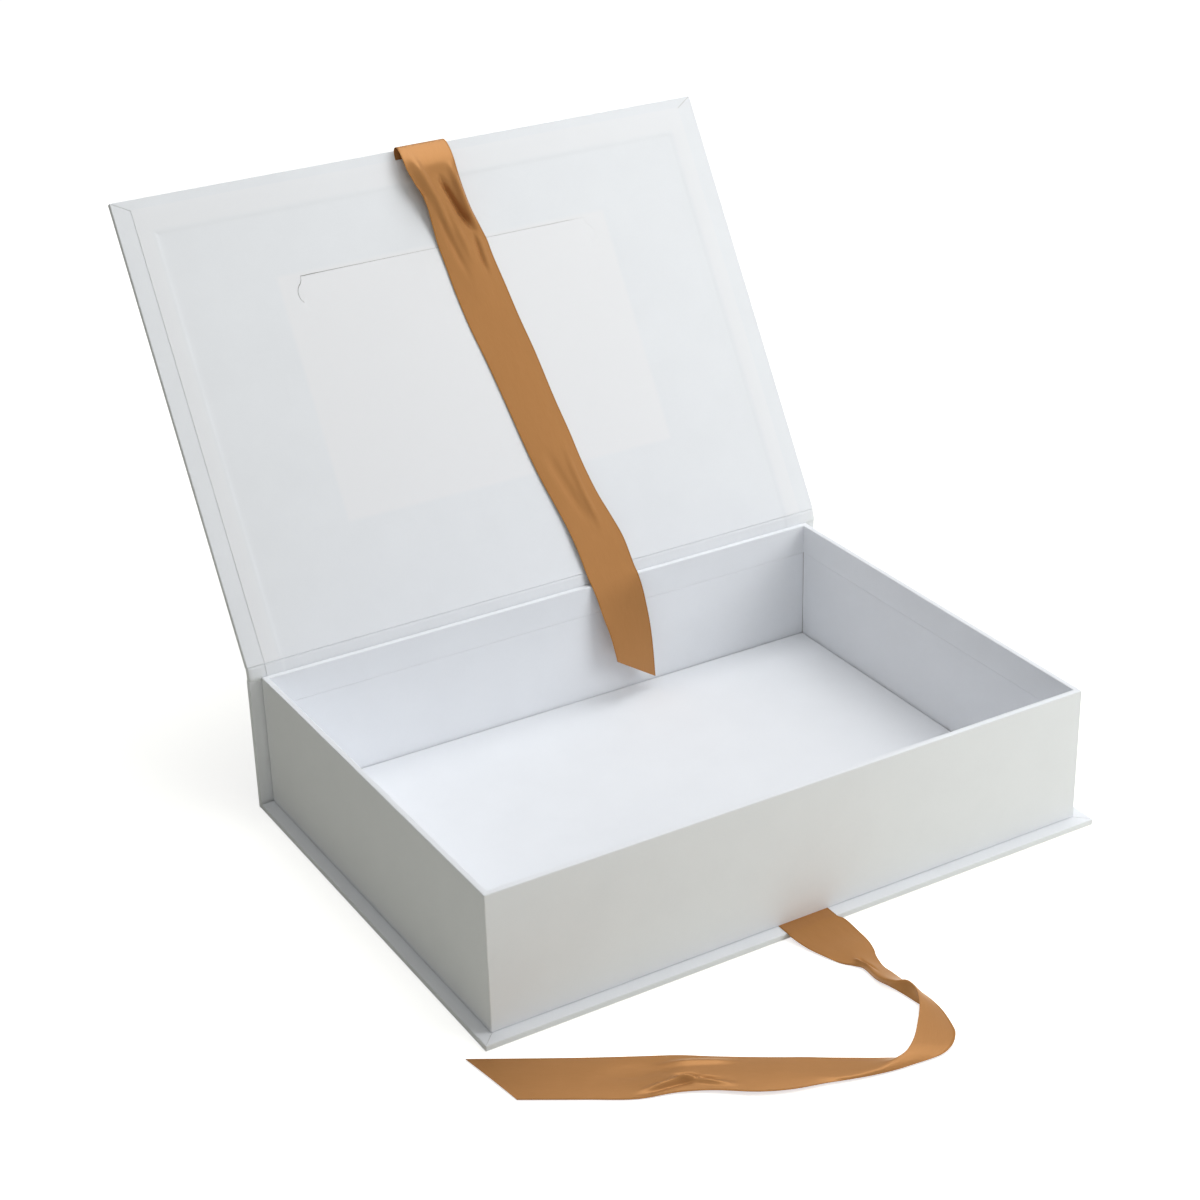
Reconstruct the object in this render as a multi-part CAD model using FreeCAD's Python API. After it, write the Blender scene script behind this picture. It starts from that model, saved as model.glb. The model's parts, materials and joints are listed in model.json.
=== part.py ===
"""Keepsake box for papers, book style: a tray glued into a three-board case, with two ribbons.

Millimetres. The origin is the centre of the base on the table, +X runs along the hinge,
+Y points to the back and +Z up. The lid stands open at rest, leaning back past upright.
"""
import FreeCAD, Part
import math
import os

Vec = FreeCAD.Vector

# Case and tray
case_width = 320.0          # base, spine and lid, measured along the hinge
base_depth = 228.0          # front edge of the base to the back of the spine
lid_short = 2.6             # closed lid's back edge in front of the spine's outer face
tray_height = 66.5          # underside of the tray to its rim
side_overhang = 6.2         # base past the tray at each side
front_overhang = 6.5        # base past the tray at the front
board = 2.4                 # greyboard of base, spine and tray walls
lid_board_ply = 1.2         # each of the two greyboards laminated into the lid
paper = 0.25                # cover, wrap and lining paper
floor_card = 1.75           # papered card that lines the floor
lid_open_angle = 121.2      # degrees from closed to the resting pose

# Paper turned round the edges
case_turn_in = 18.0         # cover folded over the boards' edges
rim_turn_in = 15.3          # wrap folded over the rim, down the inside
tray_turn_under = 15.0      # wrap folded under the tray
edge_round = 0.5            # paper drawn round a board's edge

# Glue lines, gaps and creases
tray_glue = 0.3             # adhesive between base and tray
spine_glue = 0.6            # adhesive between tray and spine
glue_inset = 6.0            # adhesive kept back from the tray's edges
base_crease = 1.0           # groove between base and spine
spine_drop = 1.3            # top of the spine below the rim
hinge_back = 1.85           # hinge line behind the closed lid's back edge
hinge_drop = 0.3            # hinge line below the closed lid's outer face
crease_bow = 0.35           # crease papers bow out by this much
lid_gap = 0.3               # closed lid above the rim, held up by the ribbon's tab
floor_gap = 0.6             # floor card clear of the walls
liner_gap = 0.15            # wall linings stop short of the corners
seam_gap = 0.1              # hairline between two papers that meet
mitre_cut = 0.2             # width of the cut where two turn-ins meet at a corner
mitre_start = 1.0           # cut kept back from the corner itself

# Lid lining and photo pocket
liner_side_border = 9.0     # cover left bare beside the lining
liner_front_border = 5.0    # cover left bare in front of the lining
liner_lap = 1.0             # lining's step down over the turn-in
pocket_width = 178.0
pocket_height = 118.8
pocket_from_hinge = 55.5    # hinge edge of the lid to the pocket
window_width = 142.0        # shows a print of 152 by 102
window_height = 92.0
slit_width = 163.0          # lets a print in from the inside
slit_drop = 12.8            # ends of the slit turned down
slit_round = 9.0
slit_cut = 0.3

# Ribbons
ribbon_width = 26.0
ribbon = 0.25               # thickness
ribbon_side_clear = 0.3     # paper clear of a ribbon's tab
lid_tab = 11.0              # lid ribbon glued under the lining
tab_border = 1.5            # lining raised round the tab
base_tab = 20.0             # base ribbon glued under the tray
base_ribbon_shift = 1.2     # base ribbon right of the middle
ribbon_lie = 0.3            # middle of a ribbon that lies flat, above what it lies on

overrun = 1.0               # cuts pass through by this much

# Levels, from the table up
base_top = board + 2 * paper
tray_bottom = base_top + tray_glue
rim = tray_bottom + tray_height
bottom_board_low = tray_bottom + paper
bottom_board_top = bottom_board_low + board
floor_top = bottom_board_top + floor_card
spine_top = rim - spine_drop

# Plan of the case and the tray
case_half = case_width / 2
front = -base_depth / 2
back = base_depth / 2
spine_inner = back - board - 2 * paper
base_board_back = spine_inner - base_crease
wall = board + 2 * paper
tray_half = case_half - side_overhang
tray_front = front + front_overhang
tray_back = spine_inner - spine_glue
inner_half = tray_half - wall
inner_front = tray_front + wall
inner_back = tray_back - wall

# Closed lid, measured down from its outer face
lid_depth = base_depth - lid_short
lid_back = front + lid_depth
pocket_board_depth = paper + lid_board_ply
turn_in_depth = pocket_board_depth + lid_board_ply
border_depth = turn_in_depth + paper
liner_depth = border_depth + paper
lid_top = rim + lid_gap + liner_depth
hinge_y = lid_back + hinge_back
hinge_z = lid_top - hinge_drop
pocket_top = pocket_from_hinge + pocket_height
pocket_middle = pocket_from_hinge + pocket_height / 2
liner_half = case_half - liner_side_border
liner_end = lid_depth - liner_front_border


def slab(x0, x1, y0, y1, z0, z1):
    """Board or sheet between two corners."""
    return Part.makeBox(x1 - x0, y1 - y0, z1 - z0, Vec(x0, y0, z0))


def hoop(x_half, y0, y1, z0, z1, thick):
    """Rectangular band round all four sides, its outside at the given plan."""
    outer = slab(-x_half, x_half, y0, y1, z0, z1)
    inner = slab(thick - x_half, x_half - thick, y0 + thick, y1 - thick, z0 - overrun, z1 + overrun)
    return outer.cut(inner)


def joined(shapes):
    """One clean solid from pieces that touch."""
    return shapes[0].fuse(shapes[1:]).removeSplitter()


def rounded(shape, radius, chosen):
    """Shape with the chosen edges rounded."""
    return shape.makeFillet(radius, [e for e in shape.Edges if chosen(e)])


def edge_lies(edge, axis, places):
    """True for a straight edge along an axis whose other coordinates are in the places."""
    box = edge.BoundBox
    spans = {"x": (box.XMin, box.XMax), "y": (box.YMin, box.YMax), "z": (box.ZMin, box.ZMax)}
    low, high = spans.pop(axis)
    if high - low < edge_round:
        return False
    for name, (start, end) in spans.items():
        if end - start > seam_gap:
            return False
        if all(abs(start - place) > seam_gap / 2 for place in places[name]):
            return False
    return True


def opened(shape):
    """Piece of the closed lid, swung open about the hinge to the resting pose."""
    turned = shape.copy()
    turned.rotate(Vec(0, hinge_y, hinge_z), Vec(1, 0, 0), -lid_open_angle)
    return turned


def lid_slab(x0, x1, v0, v1, d0, d1):
    """Sheet of the closed lid: v runs from its hinge edge, d down from its outer face."""
    return slab(x0, x1, lid_back - v1, lid_back - v0, lid_top - d1, lid_top - d0)


def lid_point(x, v, lift):
    """Place on the closed lid's inside, lifted off the lining's face."""
    return Vec(x, lid_back - v, lid_top - liner_depth - lift)


def opened_point(point):
    """Place on the closed lid, swung open with it."""
    angle = math.radians(-lid_open_angle)
    y = point.y - hinge_y
    z = point.z - hinge_z
    return Vec(
        point.x,
        hinge_y + y * math.cos(angle) - z * math.sin(angle),
        hinge_z + y * math.sin(angle) + z * math.cos(angle),
    )


def mitre(side, inside_x, inside_y, z0, z1):
    """Thin block through a turn-in, from a front corner to a place inside it."""
    run_x = inside_x - case_half
    run_y = inside_y - front
    length = math.hypot(run_x, run_y)
    cut = slab(mitre_start, length, -mitre_cut / 2, mitre_cut / 2, z0, z1)
    cut.rotate(Vec(0, 0, 0), Vec(0, 0, 1), math.degrees(math.atan2(run_y, run_x)))
    cut.translate(Vec(case_half, front, 0))
    if side < 0:
        cut = cut.mirror(Vec(0, 0, 0), Vec(1, 0, 0))
    return cut


def save(name, shape):
    """One valid solid into its own file."""
    solid = shape.Solids[0]
    if len(shape.Solids) != 1 or not solid.isValid():
        raise ValueError(name + " is not one valid solid")
    solid.exportStep(os.path.join("parts", name + ".step"))
    print(name, "volume", round(solid.Volume), "mm3")


# Base and spine

def base_board():
    return slab(paper - case_half, case_half - paper, front + paper, base_board_back, paper, base_top - paper)


def base_cover():
    """Paper under the base, round its front and side edges and over their tops."""
    sheet = slab(-case_half, case_half, front, back, 0, paper)
    band = hoop(case_half, front, base_board_back + case_turn_in, 0, base_top, paper)
    turn_in = hoop(case_half, front, base_board_back + case_turn_in, base_top - paper, base_top, case_turn_in)
    behind = slab(-case_width, case_width, base_board_back, back + base_depth, paper, base_top + overrun)
    below = slab(-case_width, case_width, back, back + base_depth, -overrun, base_top + overrun)
    cover = joined([sheet, band, turn_in]).cut(behind).cut(below).removeSplitter()
    places = {"x": (-case_half, case_half), "y": (front,), "z": (0, base_top)}
    cover = rounded(cover, edge_round, lambda e: any(edge_lies(e, axis, places) for axis in "xyz"))
    for side in (-1, 1):
        inside = (case_half - case_turn_in - overrun, front + case_turn_in + overrun)
        cover = cover.cut(mitre(side, *inside, base_top - paper - overrun, base_top + overrun))
    return cover


def spine_board():
    return slab(paper - case_half, case_half - paper, spine_inner + paper, back - paper, paper, spine_top)


def spine_cover():
    """Paper down the back of the spine, turned in round its two ends."""
    sheet = slab(-case_half, case_half, back - paper, back, paper, spine_top)
    ends = []
    for side in (-1, 1):
        outer = side * case_half
        edge = sorted((outer, outer - side * paper))
        flap = sorted((outer, outer - side * case_turn_in))
        ends.append(slab(edge[0], edge[1], spine_inner, back, paper, spine_top))
        ends.append(slab(flap[0], flap[1], spine_inner, spine_inner + paper, paper, spine_top))
    places = {"x": (-case_half, case_half), "y": (spine_inner, back)}
    return rounded(joined([sheet] + ends), edge_round, lambda e: edge_lies(e, "z", places))


def spine_liner():
    half = case_half - case_turn_in - seam_gap
    return slab(-half, half, spine_inner, spine_inner + paper, base_top, spine_top)


def spine_adhesive():
    half = tray_half - glue_inset
    return slab(-half, half, tray_back, spine_inner, tray_bottom + glue_inset, spine_top - glue_inset)


# Tray

def tray_adhesive():
    """Adhesive sheet under the tray, notched for the base ribbon's tab."""
    half = tray_half - glue_inset
    sheet = slab(-half, half, tray_front + glue_inset, tray_back - glue_inset, base_top, tray_bottom)
    notch = ribbon_width / 2 + ribbon_side_clear
    cut = slab(
        base_ribbon_shift - notch, base_ribbon_shift + notch,
        tray_front, tray_front + base_tab + ribbon_side_clear,
        base_top - overrun, tray_bottom + overrun,
    )
    return sheet.cut(cut)


def tray_bottom_board():
    reach = paper + board
    return slab(
        reach - tray_half, tray_half - reach, tray_front + reach, tray_back - reach,
        bottom_board_low, bottom_board_top,
    )


def tray_wall(side):
    """Wall board: front and back run the full width, left and right fit between them."""
    long_half = tray_half - paper
    reach = paper + board
    plans = {
        "front": (-long_half, long_half, tray_front + paper, tray_front + reach),
        "back": (-long_half, long_half, tray_back - reach, tray_back - paper),
        "left": (-long_half, reach - tray_half, tray_front + reach, tray_back - reach),
        "right": (tray_half - reach, long_half, tray_front + reach, tray_back - reach),
    }
    return slab(*plans[side], bottom_board_low, rim - paper)


def tray_wrap():
    """Paper round the tray, over its rim, down the inside and under its bottom edge."""
    reach = paper + board
    outside = hoop(tray_half, tray_front, tray_back, tray_bottom, rim, paper)
    top = hoop(tray_half, tray_front, tray_back, rim - paper, rim, wall)
    inside = hoop(tray_half - reach, tray_front + reach, tray_back - reach, rim - rim_turn_in, rim, paper)
    under = hoop(tray_half, tray_front, tray_back, tray_bottom, bottom_board_low, tray_turn_under)
    places = {
        "x": (-tray_half, -inner_half, inner_half, tray_half),
        "y": (tray_front, inner_front, inner_back, tray_back),
        "z": (rim,),
    }
    corners = {"x": (-tray_half, tray_half), "y": (tray_front, tray_back)}

    def chosen(edge):
        on_rim = edge_lies(edge, "x", places) or edge_lies(edge, "y", places)
        return on_rim or edge_lies(edge, "z", corners)

    return rounded(joined([outside, top, inside, under]), edge_round, chosen)


def floor_liner():
    return slab(
        floor_gap - inner_half, inner_half - floor_gap, inner_front + floor_gap, inner_back - floor_gap,
        bottom_board_top, floor_top,
    )


def wall_liner(side):
    """Paper on a wall's inside, from the bottom board up to the turned-in wrap."""
    low = bottom_board_top
    high = rim - rim_turn_in - seam_gap
    x_end = inner_half - liner_gap
    y_low = inner_front + liner_gap
    y_high = inner_back - liner_gap
    plans = {
        "front": (-x_end, x_end, inner_front - paper, inner_front),
        "back": (-x_end, x_end, inner_back, inner_back + paper),
        "left": (-inner_half - paper, -inner_half, y_low, y_high),
        "right": (inner_half, inner_half + paper, y_low, y_high),
    }
    return slab(*plans[side], low, high)


# Lid, made closed and swung open

def window(margin, d0, d1):
    """Block through the photo window, grown by a margin."""
    half = window_width / 2 + margin
    rise = window_height / 2 + margin
    return lid_slab(-half, half, pocket_middle - rise, pocket_middle + rise, d0, d1)


def lid_board():
    """Outer ply of the lid, with the photo window."""
    half = case_half - paper
    ply = lid_slab(-half, half, 0, lid_depth - paper, paper, pocket_board_depth)
    return opened(ply.cut(window(paper, 0, border_depth)))


def lid_pocket_board():
    """Inner ply of the lid, cut out where the photo lies."""
    half = case_half - paper
    ply = lid_slab(-half, half, 0, lid_depth - paper, pocket_board_depth, turn_in_depth)
    pocket = lid_slab(-pocket_width / 2, pocket_width / 2, pocket_from_hinge, pocket_top, 0, liner_depth)
    return opened(ply.cut(pocket))


def lid_cover():
    """Paper over the lid's outside, turned in round three edges and round the window."""
    sheet = lid_slab(-case_half, case_half, 0, lid_depth, 0, paper)
    low = lid_top - border_depth
    band = hoop(case_half, front, lid_back + case_turn_in, low, lid_top, paper)
    turn_in = hoop(case_half, front, lid_back + case_turn_in, low, low + paper, case_turn_in)
    behind = slab(-case_width, case_width, lid_back, lid_back + lid_depth, low - overrun, lid_top + overrun)
    sleeve = window(paper, paper, pocket_board_depth)
    cover = joined([sheet, band, turn_in, sleeve]).cut(behind).cut(window(0, -overrun, border_depth))
    places = {"x": (-case_half, case_half), "y": (front,), "z": (low, lid_top)}
    cover = cover.removeSplitter()
    cover = rounded(cover, edge_round, lambda e: any(edge_lies(e, axis, places) for axis in "xyz"))
    for side in (-1, 1):
        # the two turn-ins meet on a line to the lining's corner
        inside = (liner_half - liner_lap, front + liner_front_border + liner_lap)
        cover = cover.cut(mitre(side, *inside, low - overrun, low + paper + overrun))
    return opened(cover)


def slit_arch(half, v_top, radius, d0, d1):
    """Block under an arch with rounded shoulders, as the flap is cut."""
    v_low = pocket_top - slit_drop
    slope = radius * (1 - math.cos(math.radians(45)))
    z = lid_top - d1

    def at(x, v):
        return Vec(x, lid_back - v, z)

    edges = [
        Part.makeLine(at(-half, v_low), at(-half, v_top - radius)),
        Part.Arc(at(-half, v_top - radius), at(slope - half, v_top - slope), at(radius - half, v_top)).toShape(),
        Part.makeLine(at(radius - half, v_top), at(half - radius, v_top)),
        Part.Arc(at(half - radius, v_top), at(half - slope, v_top - slope), at(half, v_top - radius)).toShape(),
        Part.makeLine(at(half, v_top - radius), at(half, v_low)),
        Part.makeLine(at(half, v_low), at(-half, v_low)),
    ]
    return Part.Face(Part.Wire(edges)).extrude(Vec(0, 0, d1 - d0))


def lid_liner():
    """Lining of the lid: stepped over the turn-in, raised over the ribbon's tab, slit for a photo."""
    bed_half = case_half - case_turn_in
    bed_end = lid_depth - case_turn_in
    bed = lid_slab(-bed_half, bed_half, 0, bed_end, turn_in_depth, border_depth)
    border = lid_slab(-liner_half, liner_half, 0, liner_end, border_depth, liner_depth)
    hollow = lid_slab(
        liner_lap - bed_half, bed_half - liner_lap, -overrun, bed_end - liner_lap,
        border_depth - overrun, liner_depth + overrun,
    )
    tab_half = ribbon_width / 2 + ribbon_side_clear
    tab_start = liner_end - lid_tab - ribbon_side_clear
    tab = lid_slab(-tab_half, tab_half, tab_start, lid_depth, border_depth, liner_depth)
    raised = lid_slab(
        -tab_half - tab_border, tab_half + tab_border, tab_start - tab_border, liner_end,
        liner_depth, liner_depth + paper,
    )
    d0 = turn_in_depth - overrun
    d1 = liner_depth + overrun
    outer = slit_arch(slit_width / 2, pocket_top, slit_round, d0, d1)
    inner = slit_arch(slit_width / 2 - slit_cut, pocket_top - slit_cut, slit_round - slit_cut, d0, d1)
    sheet = joined([bed, border.cut(hollow).cut(tab), raised])
    return opened(sheet.cut(outer.cut(inner)))


# Crease papers between the spine and the lid

def crease(start, end, x0, x1):
    """Strip of paper between two edges, each a pair of places, bowed along its run."""
    middle = [(a + b) * 0.5 + Vec(0, crease_bow, 0) for a, b in zip(start, end)]
    faces = [
        Part.Arc(start[0], middle[0], end[0]).toShape(),
        Part.makeLine(end[0], end[1]),
        Part.Arc(end[1], middle[1], start[1]).toShape(),
        Part.makeLine(start[1], start[0]),
    ]
    strip = Part.Face(Part.Wire(faces)).extrude(Vec(x1 - x0, 0, 0))
    strip.translate(Vec(x0, 0, 0))
    return strip


def lid_edge(*depths):
    """Places at the open lid's hinge edge, by their depth from its outer face."""
    return [opened_point(Vec(0, lid_back, lid_top - d)) for d in depths]


def spine_edge(*places_y):
    """Places at the spine's top."""
    return [Vec(0, y, spine_top) for y in places_y]


def hinge_cover():
    """Cover paper from the spine to the lid, turned in at both ends like the cover beside it."""
    outer = crease(spine_edge(back, back - paper), lid_edge(0, paper), -case_half, case_half)
    flap_start = spine_edge(spine_inner + paper, spine_inner)
    flap_end = lid_edge(turn_in_depth, border_depth)
    ends = []
    for side in (-1, 1):
        edge = sorted((side * case_half, side * (case_half - paper)))
        flap = sorted((side * case_half, side * (case_half - case_turn_in)))
        ends.append(crease(spine_edge(back, spine_inner), lid_edge(0, border_depth), *edge))
        ends.append(crease(flap_start, flap_end, *flap))
    return joined([outer] + ends)


def hinge_liner():
    half = case_half - case_turn_in - seam_gap
    start = spine_edge(spine_inner + paper, spine_inner)
    return crease(start, lid_edge(turn_in_depth, border_depth), -half, half)


# Ribbons: thin strips through rows of places across their width

across_shares = (-0.5, -0.25, 0.0, 0.25, 0.5)
pleat_shares = (0.0, 1.0, 0.15, 0.9, 0.0)
pleat_limit_share = 0.35


def softened(rows):
    """Rows with one more between each two, on a smooth curve through them."""
    out = []
    last = len(rows) - 1
    for k in range(last):
        before = rows[max(k - 1, 0)]
        after = rows[min(k + 2, last)]
        out.append(rows[k])
        out.append([
            (b + c) * (9 / 16) - (a + d) * (1 / 16)
            for a, b, c, d in zip(before, rows[k], rows[k + 1], after)
        ])
    return out + [rows[last]]


def side_normals(before, row, after):
    """Half the ribbon's thickness at each place of a row, longer where a pleat turns sharply."""
    normals = []
    for j, place in enumerate(row):
        along = after[j] - before[j]
        left = row[max(j, 1)] - row[max(j, 1) - 1]
        right = row[min(j, len(row) - 2) + 1] - row[min(j, len(row) - 2)]
        aside = left.normalize() + right.normalize()
        sharpness = max(aside.Length / 2, pleat_limit_share)
        normals.append(aside.cross(along).normalize() * (ribbon / 2 / sharpness))
    return normals


def strip_sections(rows):
    """Outlines across a ribbon, half its thickness either side of each row."""
    sections = []
    last = len(rows) - 1
    for k, row in enumerate(rows):
        normals = side_normals(rows[max(k - 1, 0)], row, rows[min(k + 1, last)])
        tops = [place + normal for place, normal in zip(row, normals)]
        lows = [place - normal for place, normal in zip(row, normals)]
        sections.append(tops + lows[::-1])
    return sections


def corner_faces(a, b, c, d):
    """Two flat faces that fill four corners, given in order round them."""
    return [Part.Face(Part.makePolygon(ring)) for ring in ((a, b, d, a), (b, c, d, b))]


def strip(sections):
    """Solid ribbon through its outlines, closed at both cut ends."""
    faces = []
    for near, far in zip(sections, sections[1:]):
        for j in range(len(near)):
            ring = (near[j - 1], near[j], far[j], far[j - 1])
            if j > len(near) // 2:
                # the underside bends along the same lines as the top
                ring = ring[1:] + ring[:1]
            faces += corner_faces(*ring)
    for end in (sections[0], sections[-1]):
        for j in range(len(end) // 2 - 1):
            faces += corner_faces(end[j], end[j + 1], end[-j - 2], end[-j - 1])
    shell = Part.makeShell(faces)
    shell.sewShape()
    solid = Part.makeSolid(shell)
    if solid.Volume < 0:
        solid.reverse()
    return solid


# Lid ribbon on the lid: share of the lid's depth, then shift, lift and pleat as shares of the width
lid_ribbon_fold_shares = (
    (0.9920, 0.00, 0.008, 0.00),
    (0.9980, 0.04, 0.035, 0.00),
    (1.0005, 0.10, 0.070, 0.00),
    (0.9980, 0.17, 0.105, 0.00),
    (0.9850, 0.19, 0.125, 0.00),
)
lid_ribbon_fall_shares = (
    (0.940, 0.20, 0.110, 0.04),
    (0.890, 0.24, 0.075, 0.08),
    (0.820, 0.31, 0.050, 0.09),
    (0.730, 0.38, 0.040, 0.05),
    (0.620, 0.49, 0.030, 0.02),
    (0.470, 0.69, 0.028, 0.01),
    (0.310, 0.86, 0.030, 0.03),
    (0.180, 1.03, 0.034, 0.01),
    (0.070, 1.18, 0.036, 0.00),
    (0.024, 1.24, 0.036, 0.00),
)
# Its tail in the tray: shift as a share of the width, reach in front of the back wall and turn
# as shares of the width, and drop below the rim at either edge as shares of the tray's depth
lid_ribbon_tail_shares = (
    (1.28, -0.050, 0.00, -0.060, -0.060),
    (1.31, 0.030, 0.00, -0.014, -0.014),
    (1.35, 0.150, 0.02, 0.110, 0.110),
    (1.39, 0.270, 0.06, 0.270, 0.270),
    (1.44, 0.350, 0.10, 0.430, 0.450),
    (1.49, 0.390, 0.14, 0.560, 0.640),
    (1.53, 0.410, 0.17, 0.650, 0.880),
)


def lid_ribbon_rows():
    """Rows on the lid, then rows in the tray, from the glued tab to the cut end."""
    half_lift = ribbon / 2
    rows = []
    for v in (liner_end - lid_tab, liner_end):
        rows.append([lid_point(share * ribbon_width, v, -half_lift) for share in across_shares])
    for v_share, shift, lift, pleat in lid_ribbon_fold_shares + lid_ribbon_fall_shares:
        rows.append([
            lid_point(
                (shift + share) * ribbon_width, v_share * lid_depth,
                (lift + pleat * fold) * ribbon_width,
            )
            for share, fold in zip(across_shares, pleat_shares)
        ])
    on_lid = [[opened_point(place) for place in row] for row in rows]
    on_lid = on_lid[:1] + softened(on_lid[1:])
    depth = rim - floor_top
    in_tray = []
    for shift, reach, turn, left_drop, right_drop in lid_ribbon_tail_shares:
        row = []
        for share in across_shares:
            drop = left_drop * (0.5 - share) + right_drop * (0.5 + share)
            y = inner_back - (reach - turn * share) * ribbon_width
            row.append(Vec((shift + share) * ribbon_width, y, rim - drop * depth))
        in_tray.append(row)
    return on_lid, softened(on_lid[-1:] + in_tray)[1:]


def lid_ribbon_pieces():
    """Ribbon on the lid and its tail in the tray, which meet face to face."""
    on_lid, in_tray = lid_ribbon_rows()
    sections = strip_sections(on_lid + in_tray)
    split = len(on_lid)
    return strip(sections[:split]), strip(sections[split - 1:])


# Base ribbon in front of the base, as shares of its width: places of its left and right edges,
# to the right of its middle, in front of the base and above the table, then its pleats
base_ribbon_shares = (
    (-0.50, 0.50, 0.020, 0.53, 0.50, 0.015, 0.00),
    (-0.34, 0.95, 0.020, 0.57, 0.92, 0.010, 0.00),
    (-0.11, 1.38, 0.040, 0.44, 1.38, 0.015, 0.10),
    (0.08, 1.70, 0.060, 0.40, 1.68, 0.030, 0.22),
    (0.12, 2.07, 0.060, 0.40, 2.03, 0.040, 0.22),
    (0.19, 2.45, 0.070, 0.42, 2.40, 0.050, 0.20),
    (0.18, 2.70, 0.110, 0.44, 2.70, 0.060, 0.16),
    (-0.10, 3.04, 0.140, 0.42, 3.00, 0.050, 0.12),
    (-0.41, 3.38, 0.150, 0.31, 3.38, 0.045, 0.06),
    (-0.72, 3.61, 0.135, 0.22, 3.58, 0.045, 0.02),
    (-1.08, 3.74, 0.095, 0.10, 3.73, 0.050, 0.00),
    (-1.38, 3.82, 0.045, -0.02, 3.83, 0.040, 0.00),
    (-1.48, 3.83, 0.020, -0.12, 3.84, 0.020, 0.00),
    (-1.58, 3.76, 0.000, -0.32, 3.72, 0.000, 0.00),
    (-1.90, 3.62, 0.000, -0.94, 3.54, 0.000, 0.02),
    (-2.32, 3.46, 0.000, -1.64, 3.10, 0.000, 0.03),
    (-3.08, 3.12, 0.000, -2.56, 2.49, 0.000, 0.06),
    (-3.86, 2.68, 0.000, -3.42, 1.92, 0.000, 0.08),
    (-4.48, 2.36, 0.000, -4.02, 1.53, 0.000, 0.03),
    (-5.30, 1.97, 0.000, -4.78, 1.11, 0.000, 0.00),
    (-6.38, 1.30, 0.000, -6.57, 0.00, 0.000, 0.00),
)


def base_ribbon():
    """Ribbon from under the tray, over the base's front edge and along the table."""
    half = ribbon_width / 2
    tab_level = base_top + ribbon / 2
    rows = []
    for y, level in (
        (tray_front + base_tab, tab_level),
        (tray_front, tab_level),
        (front + edge_round, tab_level),
        (front - ribbon - edge_round, tab_level - ribbon / 4),
    ):
        rows.append([Vec(base_ribbon_shift + 2 * share * half, y, level) for share in across_shares])
    for left_x, left_y, left_z, right_x, right_y, right_z, pleat in base_ribbon_shares:
        row = []
        for share, fold in zip(across_shares, pleat_shares):
            a = 0.5 - share
            b = 0.5 + share
            row.append(Vec(
                base_ribbon_shift + (left_x * a + right_x * b) * ribbon_width,
                front - (left_y * a + right_y * b) * ribbon_width,
                ribbon_lie + (left_z * a + right_z * b + pleat * fold) * ribbon_width,
            ))
        rows.append(row)
    return strip(strip_sections(rows[:3] + softened(rows[3:])))


def main():
    os.makedirs("parts", exist_ok=True)
    save("base_board", base_board())
    save("base_cover", base_cover())
    save("spine_board", spine_board())
    save("spine_cover", spine_cover())
    save("spine_liner", spine_liner())
    save("spine_adhesive", spine_adhesive())
    save("tray_adhesive", tray_adhesive())
    save("tray_bottom_board", tray_bottom_board())
    for side in ("front", "back", "left", "right"):
        save("tray_" + side + "_wall", tray_wall(side))
        save(side + "_wall_liner", wall_liner(side))
    save("tray_wrap", tray_wrap())
    save("floor_liner", floor_liner())
    save("lid_board", lid_board())
    save("lid_pocket_board", lid_pocket_board())
    save("lid_cover", lid_cover())
    save("lid_liner", lid_liner())
    save("hinge_cover", hinge_cover())
    save("hinge_liner", hinge_liner())
    lid_ribbon, lid_ribbon_tail = lid_ribbon_pieces()
    save("lid_ribbon", lid_ribbon)
    save("lid_ribbon_tail", lid_ribbon_tail)
    save("base_ribbon", base_ribbon())


main()
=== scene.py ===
"""Keepsake box in white paper with gold satin ribbons: finishes, ribbons, linings, light and camera.

Metres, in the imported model's frame: +X along the hinge, +Y to the back, +Z up from the table.
"""
import json
import math

import bpy
import numpy as np
from mathutils import Matrix, Vector
from mathutils.geometry import delaunay_2d_cdt


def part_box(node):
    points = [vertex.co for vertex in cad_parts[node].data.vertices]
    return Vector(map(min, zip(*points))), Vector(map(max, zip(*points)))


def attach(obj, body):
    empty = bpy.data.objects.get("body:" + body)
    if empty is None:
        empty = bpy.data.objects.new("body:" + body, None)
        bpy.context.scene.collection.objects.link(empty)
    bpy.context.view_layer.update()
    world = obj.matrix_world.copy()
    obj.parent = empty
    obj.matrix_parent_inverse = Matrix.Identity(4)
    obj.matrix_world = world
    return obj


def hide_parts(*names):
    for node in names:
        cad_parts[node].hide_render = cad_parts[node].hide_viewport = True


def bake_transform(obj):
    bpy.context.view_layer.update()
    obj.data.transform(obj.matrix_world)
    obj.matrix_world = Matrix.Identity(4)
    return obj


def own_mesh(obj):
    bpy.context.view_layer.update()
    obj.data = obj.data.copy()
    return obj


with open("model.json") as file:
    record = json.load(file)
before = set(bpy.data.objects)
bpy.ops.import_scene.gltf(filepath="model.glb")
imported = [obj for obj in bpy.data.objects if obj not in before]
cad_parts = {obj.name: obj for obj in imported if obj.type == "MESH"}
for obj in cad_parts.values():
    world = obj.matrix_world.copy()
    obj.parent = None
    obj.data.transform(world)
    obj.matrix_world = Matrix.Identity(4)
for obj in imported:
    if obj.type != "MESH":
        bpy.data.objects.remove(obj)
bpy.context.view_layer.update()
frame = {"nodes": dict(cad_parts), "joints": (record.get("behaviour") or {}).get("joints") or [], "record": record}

# Sheets and boards, as in the construction
paper = 0.00025
lid_ply = 0.0012
case_turn_in = 0.018
liner_side_border = 0.009
liner_front_border = 0.005
pocket_width = 0.178
pocket_height = 0.1188
pocket_from_hinge = 0.0555
slit_width = 0.163
ribbon_width = 0.026
ribbon_thickness = 0.00025
lid_tab = 0.011
base_tab = 0.020
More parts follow.
